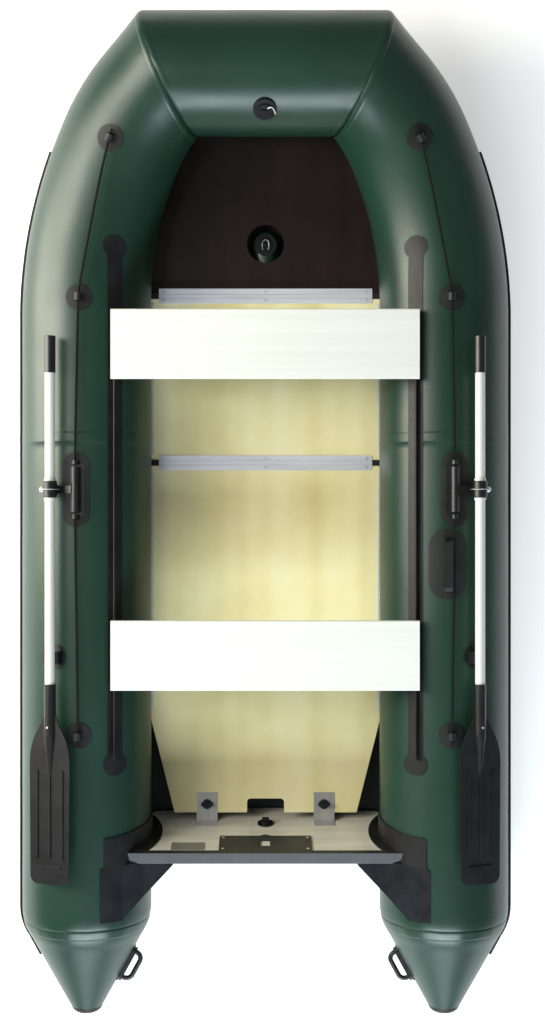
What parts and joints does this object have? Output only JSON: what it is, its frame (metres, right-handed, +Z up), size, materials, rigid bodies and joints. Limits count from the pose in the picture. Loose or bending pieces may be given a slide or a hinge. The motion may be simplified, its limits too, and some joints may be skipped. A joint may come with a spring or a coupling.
{
  "type": "inflatable boat",
  "caption": "Inflatable dinghy: side tubes with stern cones, raised bow, plywood floor and transom, sliding seats, swivelling oars.",
  "frame": {"origin": "on the ground under the middle of the hull, at the centre of the boat's length and width", "axes": "+Y to the bow, +X to starboard, +Z up"},
  "size_m": [1.7966, 3.6, 0.6437],
  "materials": {
    "pvc_green": "satin coated fabric",
    "pvc_black": "matt",
    "moulded_black": "satin",
    "white_alu": "painted satin",
    "bare_alu": "brushed",
    "floor_ply": "sealed mesh-faced plywood",
    "bow_ply": "dark film-faced plywood",
    "transom_ply": "light sealed plywood",
    "stainless": "satin",
    "rope_black": "braided",
    "plate_grey": "satin",
    "caps_black": "satin"
  },
  "bodies": {
    "hull": {"bottom_fabric": "pvc_green", "bow_board": "bow_ply", "bow_tube": "pvc_green", "builders_plate": "plate_grey", "carry_handle": "moulded_black", "cone_caps": "caps_black", "cone_handles": "moulded_black", "drain_body": "moulded_black", "floor_profile_plugs": "moulded_black", "floor_profiles": "bare_alu", "floorboards": "floor_ply", "inner_motor_plate": "moulded_black", "keel_guard": "pvc_black", "keel_tube": "pvc_green", "lifeline_eyelets": "moulded_black", "motor_plate_bolts": "stainless", "oar_clips": "moulded_black", "outer_motor_plate": "moulded_black", "port_lifeline": "rope_black", "port_tube": "pvc_green", "rivets": "bare_alu", "rowlock_axles": "stainless", "rowlock_bodies": "moulded_black", "rowlock_pads": "pvc_black", "rubbing_strakes": "pvc_black", "seat_rails": "pvc_black", "starboard_lifeline": "rope_black", "starboard_tube": "pvc_green", "stringers": "bare_alu", "transom_board": "transom_ply", "transom_brackets": "stainless", "transom_holders": "pvc_black", "transom_trim": "moulded_black", "transom_wedges": "pvc_black", "valve_bodies": "moulded_black"},
    "front_seat": {"front_seat": "white_alu", "front_seat_channels": "moulded_black"},
    "rear_seat": {"rear_seat": "white_alu", "rear_seat_channels": "moulded_black"},
    "drain_plug": {"drain_plug": "moulded_black"},
    "bow_valve_cap": {"bow_valve_cap": "moulded_black"},
    "keel_valve_cap": {"keel_valve_cap": "moulded_black"},
    "starboard_bracket_knob": {"starboard_bracket_knob": "moulded_black"},
    "starboard_rowlock_arm": {"starboard_rowlock_arm": "moulded_black"},
    "starboard_oar_collar": {"starboard_oar_collar": "moulded_black"},
    "starboard_lock_pin": {"starboard_lock_pin": "stainless"},
    "starboard_snap_button": {"starboard_snap_button": "stainless"},
    "starboard_valve_cap": {"starboard_valve_cap": "moulded_black"},
    "starboard_oar": {"starboard_oar_shaft": "white_alu", "starboard_oar_grip": "moulded_black", "starboard_oar_blade": "moulded_black"},
    "port_bracket_knob": {"port_bracket_knob": "moulded_black"},
    "port_rowlock_arm": {"port_rowlock_arm": "moulded_black"},
    "port_oar_collar": {"port_oar_collar": "moulded_black"},
    "port_lock_pin": {"port_lock_pin": "stainless"},
    "port_snap_button": {"port_snap_button": "stainless"},
    "port_valve_cap": {"port_valve_cap": "moulded_black"},
    "port_oar": {"port_oar_shaft": "white_alu", "port_oar_grip": "moulded_black", "port_oar_blade": "moulded_black"}
  },
  "joints": [
    {"name": "front_seat_slide", "type": "slide", "parent": "hull", "child": "front_seat", "axis": [0, 1, 0], "range_m": [-0.4, 0.02]},
    {"name": "rear_seat_slide", "type": "slide", "parent": "hull", "child": "rear_seat", "axis": [0, 1, 0], "range_m": [-0.24, 0.4]},
    {"name": "drain_plug_pull", "type": "slide", "parent": "hull", "child": "drain_plug", "axis": [0, 0.9781, 0.2079], "range_m": [0, 0.05]},
    {"name": "bow_valve_cap_lift", "type": "slide", "parent": "hull", "child": "bow_valve_cap", "axis": [0, -0.7547, 0.6561], "range_m": [0, 0.03]},
    {"name": "keel_valve_cap_lift", "type": "slide", "parent": "hull", "child": "keel_valve_cap", "axis": [0, -0.19, 0.9818], "range_m": [0, 0.03]},
    {"name": "starboard_bracket_knob_turn", "type": "hinge", "parent": "hull", "child": "starboard_bracket_knob", "pos_m": [0.219, -1.061, 0.131], "axis": [0, 0, 1], "range_deg": [0, 90]},
    {"name": "starboard_rowlock_swing", "type": "hinge", "parent": "hull", "child": "starboard_rowlock_arm", "pos_m": [0.665, 0.112, 0.49], "axis": [0, -1, 0], "range_deg": [0, 20]},
    {"name": "starboard_oar_sweep", "type": "hinge", "parent": "starboard_rowlock_arm", "child": "starboard_oar_collar", "pos_m": [0.75, 0.112, 0.508], "axis": [0.309, 0, 0.9511], "range_deg": [0, 110]},
    {"name": "starboard_oar_turn", "type": "hinge", "parent": "starboard_oar_collar", "child": "starboard_oar", "pos_m": [0.75, 0.112, 0.508], "axis": [0, 1, 0], "range_deg": [-30, 30]},
    {"name": "starboard_lock_pin_pull", "type": "slide", "parent": "starboard_oar_collar", "child": "starboard_lock_pin", "axis": [0.9511, 0, -0.309], "range_m": [0, 0.006], "stiffness_N_per_m": 300},
    {"name": "starboard_snap_button_press", "type": "slide", "parent": "starboard_oar", "child": "starboard_snap_button", "axis": [-0.309, 0, -0.9511], "range_m": [0, 0.005], "stiffness_N_per_m": 400},
    {"name": "starboard_valve_cap_lift", "type": "slide", "parent": "hull", "child": "starboard_valve_cap", "axis": [-0.9397, 0, 0.342], "range_m": [0, 0.03]},
    {"name": "port_bracket_knob_turn", "type": "hinge", "parent": "hull", "child": "port_bracket_knob", "pos_m": [-0.219, -1.061, 0.131], "axis": [0, 0, 1], "range_deg": [0, 90]},
    {"name": "port_rowlock_swing", "type": "hinge", "parent": "hull", "child": "port_rowlock_arm", "pos_m": [-0.665, 0.112, 0.49], "axis": [0, 1, 0], "range_deg": [0, 20]},
    {"name": "port_oar_sweep", "type": "hinge", "parent": "port_rowlock_arm", "child": "port_oar_collar", "pos_m": [-0.75, 0.112, 0.508], "axis": [0.309, 0, -0.9511], "range_deg": [0, 110]},
    {"name": "port_oar_turn", "type": "hinge", "parent": "port_oar_collar", "child": "port_oar", "pos_m": [-0.75, 0.112, 0.508], "axis": [0, 1, 0], "range_deg": [-30, 30]},
    {"name": "port_lock_pin_pull", "type": "slide", "parent": "port_oar_collar", "child": "port_lock_pin", "axis": [-0.9511, 0, -0.309], "range_m": [0, 0.006], "stiffness_N_per_m": 300},
    {"name": "port_snap_button_press", "type": "slide", "parent": "port_oar", "child": "port_snap_button", "axis": [0.309, 0, -0.9511], "range_m": [0, 0.005], "stiffness_N_per_m": 400},
    {"name": "port_valve_cap_lift", "type": "slide", "parent": "hull", "child": "port_valve_cap", "axis": [0.9397, 0, 0.342], "range_m": [0, 0.03]}
  ]
}
